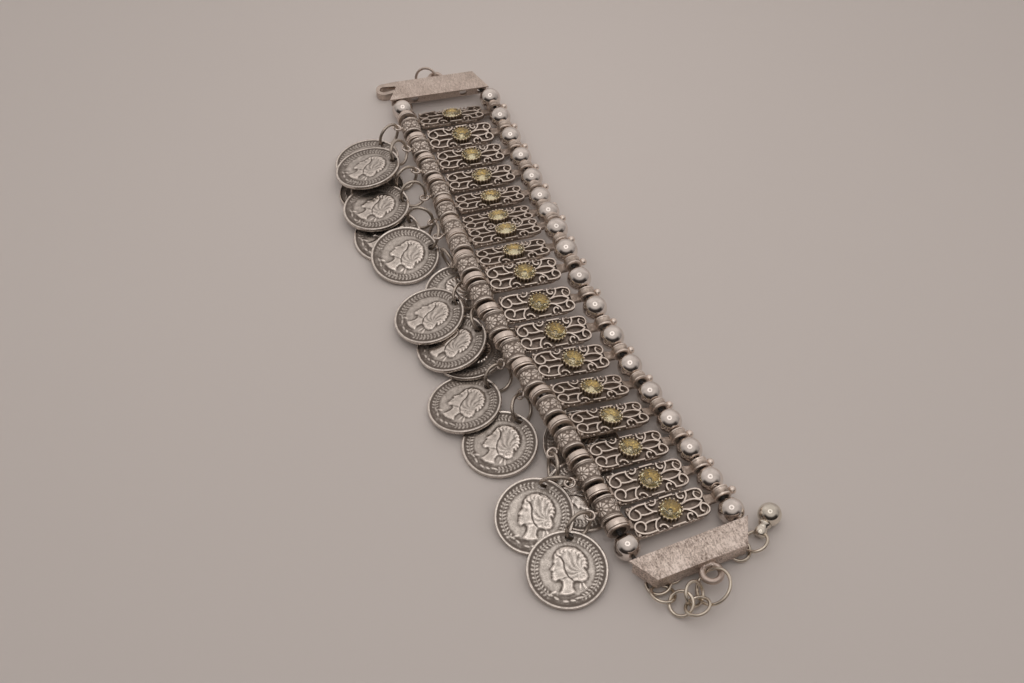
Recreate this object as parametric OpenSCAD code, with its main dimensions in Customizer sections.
// Coin bracelet: two strands joined by stone-set plates, with coins on one side, lying open and flat.
// Millimetres. X runs across, with the coins on the negative side. Y runs along, with the clasp at the
// positive end. Z is up. The origin is the middle of the whole outline, on the table that it rests on.

/* [Beads and cords] */
// outside diameter of each polished round bead
bead_d = 6; // [5.6:0.1:6.1]
// diameter of each elastic cord
cord_d = 1; // [0.7:0.1:1.2]
// outside diameter of each patterned bead at its lips
charm_bead_d = 5.4; // [5:0.1:5.5]
// length of each patterned bead along the cord
charm_bead_length = 5.8; // [5.2:0.1:5.8]
// diameter of the hole through each patterned bead
charm_bead_bore = 2.8; // [2.4:0.1:3]

/* [Plates] */
// width of each plate, measured along the bracelet
plate_width = 7.5; // [6.8:0.1:7.8]
// thickness of each plate at its raised edge
plate_thickness = 1.4; // [1.1:0.1:1.6]
// depth of each plate's sunk field
plate_recess = 1; // [0.6:0.1:1.1]
// width of each plate's raised edge
plate_edge = 0.45; // [0.3:0.05:0.8]
// outside diameter of the ring tube on the coin side
ring_tube_d = 5.6; // [5:0.1:5.7]
// outside diameter of the tube on the bead side
small_tube_d = 3.7; // [3.2:0.1:4]
// diameter of each stone
stone_d = 4.6; // [4:0.1:4.8]

/* [Coins] */
// diameter of each coin
coin_d = 17.6; // [17:0.1:17.6]
// thickness of each coin at its rim
coin_thickness = 1; // [0.8:0.05:1]
// depth of the sunk field on each face of a coin
coin_recess = 0.15; // [0.05:0.05:0.25]
// diameter of the hanging hole of each coin
coin_hole_d = 2; // [1.8:0.1:2.2]

/* [Rings and chain] */
// wire diameter of each coin's jump ring
jump_wire = 0.85; // [0.6:0.05:0.85]
// wire diameter of the chain rings
chain_wire = 0.75; // [0.6:0.05:0.75]
// diameter of the ball that ends the chain
drop_d = 5.3; // [4.6:0.1:5.4]

/* [Hidden] */
$fn = 48;
small_fn = 24;
// the strands' middle line, and how far each strand runs from it
middle_x = 8.8;
strand_offset = 12.45;
// height of both strands where they lie on the table
strand_height = 3;
// spacing of the stations along the bead strand and along the coin strand
bead_pitch = 8.85;
coin_pitch = 9.1;
// y of the last station, at the chain end
first_y = -73;
last_station = 17;
ROUTE = [
    // [station, sideways bow, rise of the bead strand, rise of the coin strand]
    [0, 0, 0, 0],
    [4, -1.4, 0.1, 0.1],
    [5, -2.6, 1.2, 1.2],
    [6, -3.7, 3.8, 3.5],
    [7, -5.0, 6.2, 6.4],
    [8, -6.1, 7.4, 8.2],
    [9, -6.2, 6.1, 7.8],
    [10, -5.7, 4.2, 6.6],
    [11, -4.9, 2.3, 5.9],
    [12, -4.1, 0.9, 5.8],
    [13, -3.0, 0.4, 5.2],
    [15, -1.4, 0.2, 3.2],
    [17, 0, 0, 0]
];
PLATES = [
    // [lean towards the chain end, height over the cords], from the clasp end on
    [-13, 0.05],
    [4, -0.1],
    [-2, -0.15],
    [-4, -0.1],
    [-11, 0],
    [-15, -0.7],
    [-15, 0.3],
    [-13, -0.6],
    [2, 0.3],
    [10, -0.4],
    [9, -0.4],
    [3, 0],
    [-9, 0],
    [-8, 0.2],
    [-2, -0.3],
    [6, -0.2],
    [4, 0.7]
];
COINS = [
    // [x, y, z of the middle, turn to the hole, lift at the hole, side slope, eye angle, ring angle]
    [-19.1, 64, 2.15, 38, 1, -7, -22, 358],
    [-20.4, 58.6, 4.55, -6, 7, -8, -24, 335],
    [-21.3, 53, 1.55, -18, 6, -2, -21, 353],
    [-22.5, 44.7, 3.25, -5, 3.5, -2, 1, 331],
    [-22.6, 35.3, 1.55, 18, 6.5, 1.5, 16, 353],
    [-20.7, 26.2, 2.3, -4, 3, 8.5, 3, 253],
    [-12.1, 9.3, 1.7, 76, 7, -2, 60, 104],
    [-21.9, 3.5, 3.55, 5, 9, -4, 71, 135],
    [-19.6, -6.5, 3.25, 2, 13, -7, 86, 133],
    [-16.1, -10, 2, -5, 5.5, -7.5, 117, 113],
    [-22.7, -23.8, 2, 19, 3.5, -8, 46, 138],
    [-19, -37.1, 1.5, 32, 6, -1, 53, 140],
    [-1.8, -44, 1.8, 123, 6, -5.5, 134, 249],
    [-6.9, -56.9, 1.85, 133, 4.5, -7.5, 21, 15],
    [-19.2, -58.5, 2.85, 53, 15, -1, 6, 15],
    [-17.5, -72.9, 2.1, 64, 10, 0.5, -11, 344]
];
// distance from a coin's middle to its hole
coin_hole_at = 7.2;
jump_radius = 3.3;
// distance from a patterned bead's axis to the middle of its eye
eye_at = 4.4;
eye_radius = 1.15;
eye_wire = 0.6;
// the plate's field reaches from here to here, and its two tubes sit beyond it
plate_left_x = -9.1;
plate_right_x = 8.3;
tube_x = 12.55;
plate_bottom = -1.6;
stone_x = 0.2;
// height of the claws over the plate's raised edge
claw_height = 0.8;
// the bars: [x, y, z of the bottom's middle, lean, turn]
NEAR_BAR = [8.9, -80.1, 1.8, 0, 1.6];
FAR_BAR = [8.3, 83.8, 2.2, -10, 171];
bar_long = 28.8;
bar_short = 21.4;
bar_height = 3.75;
bar_skin = 0.5;
bar_wall = 0.7;
bar_half_depth = 3.3;
bar_hole_z = 1.4;
bar_hole_d = 2.2;
cord_end_x = 11.9;

SILVER = [0.63, 0.59, 0.55];
DARK_SILVER = [0.42, 0.38, 0.35];
STONE = [0.82, 0.74, 0.3];
CORD = [0.2, 0.19, 0.19];

function unit(v) = v / norm(v);
function along(t, column) = lookup(t, [for (row = ROUTE) [row[0], row[column]]]);
function strand_x(side, t) = middle_x + side * strand_offset + along(t, 1);
function strand_z(side, t) = strand_height + along(t, side > 0 ? 2 : 3);
function half_step(side, t) = let (
        half = (side > 0 ? bead_pitch : coin_pitch) / 2,
        dx = strand_x(side, t) - strand_x(side, t + 0.5),
        dz = strand_z(side, t) - strand_z(side, t + 0.5)
    ) sqrt(half * half - dx * dx - dz * dz);
function strand_ys(side) = [
    for (k = 2 * last_station, y = first_y; k >= 0; y = y + half_step(side, (k - 1) / 2), k = k - 1) y
];
BEAD_YS = strand_ys(1);
COIN_YS = strand_ys(-1);
function strand_y(side, t) = (side > 0 ? BEAD_YS : COIN_YS)[2 * last_station - 2 * t];
function strand_point(side, t) = [strand_x(side, t), strand_y(side, t), strand_z(side, t)];

function plate_left(i) = strand_point(-1, i - 0.5);
function plate_right(i) = strand_point(1, i - 0.5);
function plate_span(i) = plate_right(i) - plate_left(i);
function plate_turn(i) = atan2(plate_span(i).y, plate_span(i).x);
function plate_angles(i) = [PLATES[i - 1][0], -asin(unit(plate_span(i)).z), plate_turn(i)];
// a patterned bead follows the mean of the two plates beside it
function bead_lean(i) = (PLATES[i - 1][0] + PLATES[i][0]) / 2;
function bead_turn(i) = (plate_turn(i) + plate_turn(i + 1)) / 2;

function turn_x(v, a) = [v.x, v.y * cos(a) - v.z * sin(a), v.y * sin(a) + v.z * cos(a)];
function turn_z(v, a) = [v.x * cos(a) - v.y * sin(a), v.x * sin(a) + v.y * cos(a), v.z];
function eye_point(i) = strand_point(-1, i) + turn_z(
    turn_x(eye_at * [-cos(COINS[i - 1][6]), 0, -sin(COINS[i - 1][6])], bead_lean(i)),
    bead_turn(i)
);
function hole_way(c) = [cos(c[4]) * cos(c[3]), cos(c[4]) * sin(c[3]), sin(c[4])];
function hole_point(c) = [c[0], c[1], c[2]] + coin_hole_at * hole_way(c);
function bar_point(bar, v) = [bar[0], bar[1], bar[2]] + turn_z(turn_x(v, bar[3]), bar[4]);

// puts children so that their z axis points along v, with the origin at p
module facing(p, v) {
    translate(p)
        rotate([0, acos(unit(v).z), atan2(v.y, v.x)])
            children();
}

module torus(radius, wire) {
    rotate_extrude()
        translate([radius, 0])
            circle(d = wire, $fn = small_fn);
}

module rod(a, b, d) {
    facing(a, b - a)
        cylinder(d = d, h = norm(b - a), $fn = small_fn);
}

module plate_outline(inset) {
    half = plate_width / 2 - inset;
    polygon([
        [plate_left_x + inset, -half],
        [plate_right_x - 2.1, -half],
        [plate_right_x - inset, 1.1 - half],
        [plate_right_x - inset, half - 1.1],
        [plate_right_x - 2.1, half],
        [plate_left_x + inset, half]
    ]);
}

// one plate in its own frame: x towards the bead strand, the cords at x = -tube_x and x = tube_x
module plate_shape() {
    top = plate_bottom + plate_thickness;
    field = top - plate_recess;
    claw = top + claw_height;
    difference() {
        union() {
            difference() {
                translate([0, 0, plate_bottom])
                    linear_extrude(plate_thickness)
                        plate_outline(0);
                translate([0, 0, field])
                    linear_extrude(plate_thickness)
                        plate_outline(plate_edge);
            }
            translate([stone_x, 0, field - 0.1])
                cylinder(d = stone_d + 0.4, h = claw - field - 0.3);
            translate([stone_x, 0, claw - 0.6])
                cylinder(d = stone_d + 0.8, h = 0.6);
            translate([-10.6, -1, plate_bottom + 0.1])
                cube([1.7, 2, 1]);
            translate([plate_right_x - 0.4, -1, plate_bottom + 0.1])
                cube([3.1, 2, 1]);
            translate([-tube_x, 1.07, 0])
                rotate([90, 0, 0])
                    cylinder(d = ring_tube_d, h = 2.14);
            translate([tube_x, 1.15, 0])
                rotate([90, 0, 0])
                    cylinder(d = small_tube_d, h = 2.3);
            translate([tube_x + 2.7, 0, 0])
                sphere(d = 1.9, $fn = small_fn);
        }
        translate([stone_x, 0, claw - 1.2])
            cylinder(d1 = 1.4, d2 = stone_d + 0.1, h = 0.9);
        translate([stone_x, 0, claw - 0.3])
            cylinder(d = stone_d + 0.1, h = 1);
        translate([-tube_x, 2, 0])
            rotate([90, 0, 0])
                cylinder(d = 3.4, h = 4, $fn = small_fn);
        translate([tube_x, 2, 0])
            rotate([90, 0, 0])
                cylinder(d = 2.6, h = 4, $fn = small_fn);
    }
}

module at_plate(i) {
    translate((plate_left(i) + plate_right(i)) / 2 + [0, 0, PLATES[i - 1][1]])
        rotate(plate_angles(i))
            children();
}

module plate(i) {
    color(DARK_SILVER)
        at_plate(i)
            plate_shape();
}

// the faceted stones, one in each setting
module stones() {
    color(STONE)
        for (i = [1:last_station])
            at_plate(i)
                translate([stone_x, 0, plate_bottom + plate_thickness + claw_height - 0.25])
                    rotate_extrude()
                        polygon([
                            [0, -0.8],
                            [stone_d / 2, 0],
                            [stone_d / 2, 0.15],
                            [1.3, 0.7],
                            [0, 0.7]
                        ]);
}

// a patterned bead with lips at both ends, and the eye that its jump ring goes through
module charm_bead(i) {
    half = charm_bead_length / 2;
    lip = charm_bead_d / 2;
    color(SILVER)
        translate(strand_point(-1, i))
            rotate([bead_lean(i), 0, bead_turn(i)]) {
                rotate([90, 0, 0])
                    rotate_extrude()
                        polygon([
                            [charm_bead_bore / 2, -half],
                            [lip - 0.3, -half],
                            [lip, 0.3 - half],
                            [lip, 0.6 - half],
                            [lip - 0.4, 0.9 - half],
                            [lip - 0.2, -0.9],
                            [lip - 0.2, 0.9],
                            [lip - 0.4, half - 0.9],
                            [lip, half - 0.6],
                            [lip, half - 0.3],
                            [lip - 0.3, half],
                            [charm_bead_bore / 2, half]
                        ]);
                rotate([0, -COINS[i - 1][6], 0]) {
                    translate([-eye_at, 0, 0])
                        torus(eye_radius, eye_wire);
                    translate([-eye_at + eye_radius, 0, 0])
                        rotate([0, 90, 0])
                            cylinder(d = 0.8, h = 1.1, $fn = small_fn);
                }
            }
}

module cord(side) {
    color(CORD) {
        for (t = [0:last_station - 1])
            rod(strand_point(side, t), strand_point(side, t + 1), cord_d);
        // the pieces of cord meet in small knots, which the round beads of the other strand take in
        if (side < 0)
            for (t = [1:last_station - 1])
                translate(strand_point(side, t))
                    sphere(d = cord_d + 0.3, $fn = small_fn);
        rod(strand_point(side, 0), bar_point(FAR_BAR, [-side * cord_end_x, 1.3, bar_hole_z]), cord_d);
        rod(strand_point(side, last_station), bar_point(NEAR_BAR, [side * cord_end_x, 1.3, bar_hole_z]), cord_d);
    }
}

// the bead strand: the cord and its polished round beads
module right_strand() {
    cord(1);
    color(SILVER)
        for (t = [0:last_station])
            translate(strand_point(1, t))
                sphere(d = bead_d);
}

// the coin strand's cord, with a round bead at each end
module left_strand() {
    cord(-1);
    color(SILVER)
        for (t = [0, last_station])
            translate(strand_point(-1, t))
                sphere(d = bead_d);
}

// a coin with a rim and a sunk field on both faces, hanging from the hole near its rim
module coin(i) {
    c = COINS[i - 1];
    half = coin_thickness / 2;
    field = half - coin_recess;
    r = coin_d / 2;
    color(SILVER)
        translate([c[0], c[1], c[2]])
            rotate([c[5], -c[4], c[3]])
                difference() {
                    rotate_extrude($fn = 72)
                        polygon([
                            [0, -field],
                            [r - 1.3, -field],
                            [r - 1.1, -half],
                            [r - 0.15, -half],
                            [r, 0.15 - half],
                            [r, half - 0.15],
                            [r - 0.15, half],
                            [r - 1.1, half],
                            [r - 1.3, field],
                            [0, field]
                        ]);
                    translate([coin_hole_at, 0, -1])
                        cylinder(d = coin_hole_d, h = 2, $fn = small_fn);
                }
}

// the ring of one coin, through the coin's hole and the bead's eye
module jump_ring(i) {
    eye = eye_point(i);
    hole = hole_point(COINS[i - 1]);
    way = unit(eye - hole);
    flat = unit(cross(way, [0, 0, 1]));
    psi = COINS[i - 1][7];
    out = cos(psi) * cross(flat, way) + sin(psi) * flat;
    half = norm(eye - hole) / 2;
    facing((eye + hole) / 2 + out * sqrt(jump_radius * jump_radius - half * half), cross(way, out))
        torus(jump_radius, jump_wire);
}

module jump_rings() {
    color(SILVER)
        for (i = [1:last_station - 1])
            jump_ring(i);
}

module bar_outline(front, inset) {
    // the slanted ends run back from the long front edge to the short back edge
    slope = (bar_long - bar_short) / 2 / (2 * bar_half_depth);
    back = inset - bar_half_depth;
    end = inset * 1.147;
    front_x = bar_long / 2 - slope * (bar_half_depth - front) - end;
    back_x = bar_long / 2 - slope * (bar_half_depth - back) - end;
    polygon([[-back_x, back], [back_x, back], [front_x, front], [-front_x, front]]);
}

// an end bar in its own frame: a tray turned over, with its front towards the beads at positive y
module bar_shape() {
    difference() {
        union() {
            linear_extrude(bar_height - bar_skin)
                bar_outline(2.2, 0);
            translate([0, 0, bar_height - bar_skin])
                linear_extrude(bar_skin)
                    bar_outline(3.1, 0);
        }
        translate([0, 0, -1])
            linear_extrude(bar_height + 1 - bar_skin - 0.2)
                bar_outline(2.2 - bar_wall, bar_wall);
        for (x = [-12.2, -7, 7, 12.2])
            translate([x, 4, bar_hole_z])
                rotate([90, 0, 0])
                    cylinder(d = bar_hole_d, h = 2.8, $fn = small_fn);
    }
}

// a bar with its cast eye: [x, y, z, radius, wire] of the eye
module bar(place, eye) {
    translate([place[0], place[1], place[2]])
        rotate([place[3], 0, place[4]]) {
            bar_shape();
            translate([eye[0], eye[1], eye[2]])
                torus(eye[3], eye[4]);
        }
}

module bar_near() {
    color(SILVER)
        bar(NEAR_BAR, [1.1, -5.25, 1.7, 2.05, 1.4]);
}

module bar_far() {
    color(SILVER)
        bar(FAR_BAR, [-0.36, -5.2, 0.52, 1.75, 1.2]);
}

// the chain rings: [x, y, z of the middle, radius, tilt, way of the tilt]
CHAIN = [
    [9.1, -88.3, 3.4, 4, 37, 162],
    [5, -87.9, 2.35, 2.6, 47, -53],
    [4.2, -90.9, 2.7, 2.6, 26, 114],
    [1.6, -88.7, 1.8, 2.6, 32, -160],
    [-0.8, -85.1, 1.4, 2.6, 22, 43],
    [-0.5, -82.3, 0.9, 2.6, 10, 155],
    [2.9, -81.2, 2.15, 2.6, 42, -101],
    [7, -80.5, 2.35, 2.6, 48, 90],
    [11.3, -80.7, 2.35, 2.6, 48, -90],
    [15.4, -80.3, 2.35, 2.6, 48, 77],
    [19, -81.3, 1.2, 2.6, 17, -58],
    [23.1, -81, 1.5, 2.75, 23, 134]
];

module extension_chain() {
    color(SILVER)
        for (link = CHAIN)
            translate([link[0], link[1], link[2]])
                rotate([0, link[4], link[5]])
                    torus(link[3], chain_wire);
}

// the ball that ends the chain, with the pierced collar that hangs it on the last ring
module drop_ball() {
    wire_at = [25.25, -79.4, 1.65];
    middle = [28.8, -76.7, drop_d / 2];
    way = unit(middle - wire_at);
    // the way that the last ring's wire runs through the collar
    wire_way = unit([-0.54, 0.75, -0.39]);
    color(SILVER)
        difference() {
            union() {
                translate(middle)
                    sphere(d = drop_d);
                facing(wire_at - 1.15 * way, way)
                    rotate_extrude($fn = small_fn)
                        polygon([[0, 0], [0.8, 0], [1.3, 0.7], [1.3, 1.65], [0.7, 2.6], [0.7, 3.2], [0, 3.2]]);
            }
            facing(wire_at - 3 * wire_way, wire_way)
                cylinder(d = 1.5, h = 6, $fn = small_fn);
        }
}

module clasp_outline() {
    difference() {
        union() {
            translate([10.1, 0])
                circle(r = 2.45);
            polygon([[10.1, -2.45], [10.1, 2.45], [6, 2.3], [1.4, 0.9], [1.4, -0.9], [6, -2.3]]);
        }
        translate([10.3, 0.1])
            circle(r = 1.2);
        polygon([[10.3, -1.1], [10.3, 1.3], [6.9, 1.1], [6.5, 0.5], [6.9, -0.3]]);
    }
}

// the clasp, lying behind the far bar, with the ring that joins it to the bar's eye
module clasp() {
    color(SILVER) {
        translate([4.6, 90.7, 1.4])
            rotate([0, 0, 178]) {
                translate([0, 0, -1.3])
                    linear_extrude(2.2)
                        clasp_outline();
                rotate([35, 0, 0])
                    torus(1.5, 0.8);
            }
        translate([6.9, 90.1, 3.4])
            rotate([0, 121, 62])
                torus(2.9, chain_wire);
    }
}

PLATE_NODES = [for (i = [1:17]) str("plate_", i < 10 ? "0" : "", i)];
BEAD_NODES = [for (i = [1:16]) str("charm_bead_", i < 10 ? "0" : "", i)];
COIN_NODES = [for (i = [1:16]) str("coin_", i < 10 ? "0" : "", i)];

for (i = [1:17])
    plate(i);
for (i = [1:16])
    charm_bead(i);
for (i = [1:16])
    coin(i);
bar_near();
bar_far();
stones();
right_strand();
left_strand();
jump_rings();
extension_chain();
drop_ball();
clasp();
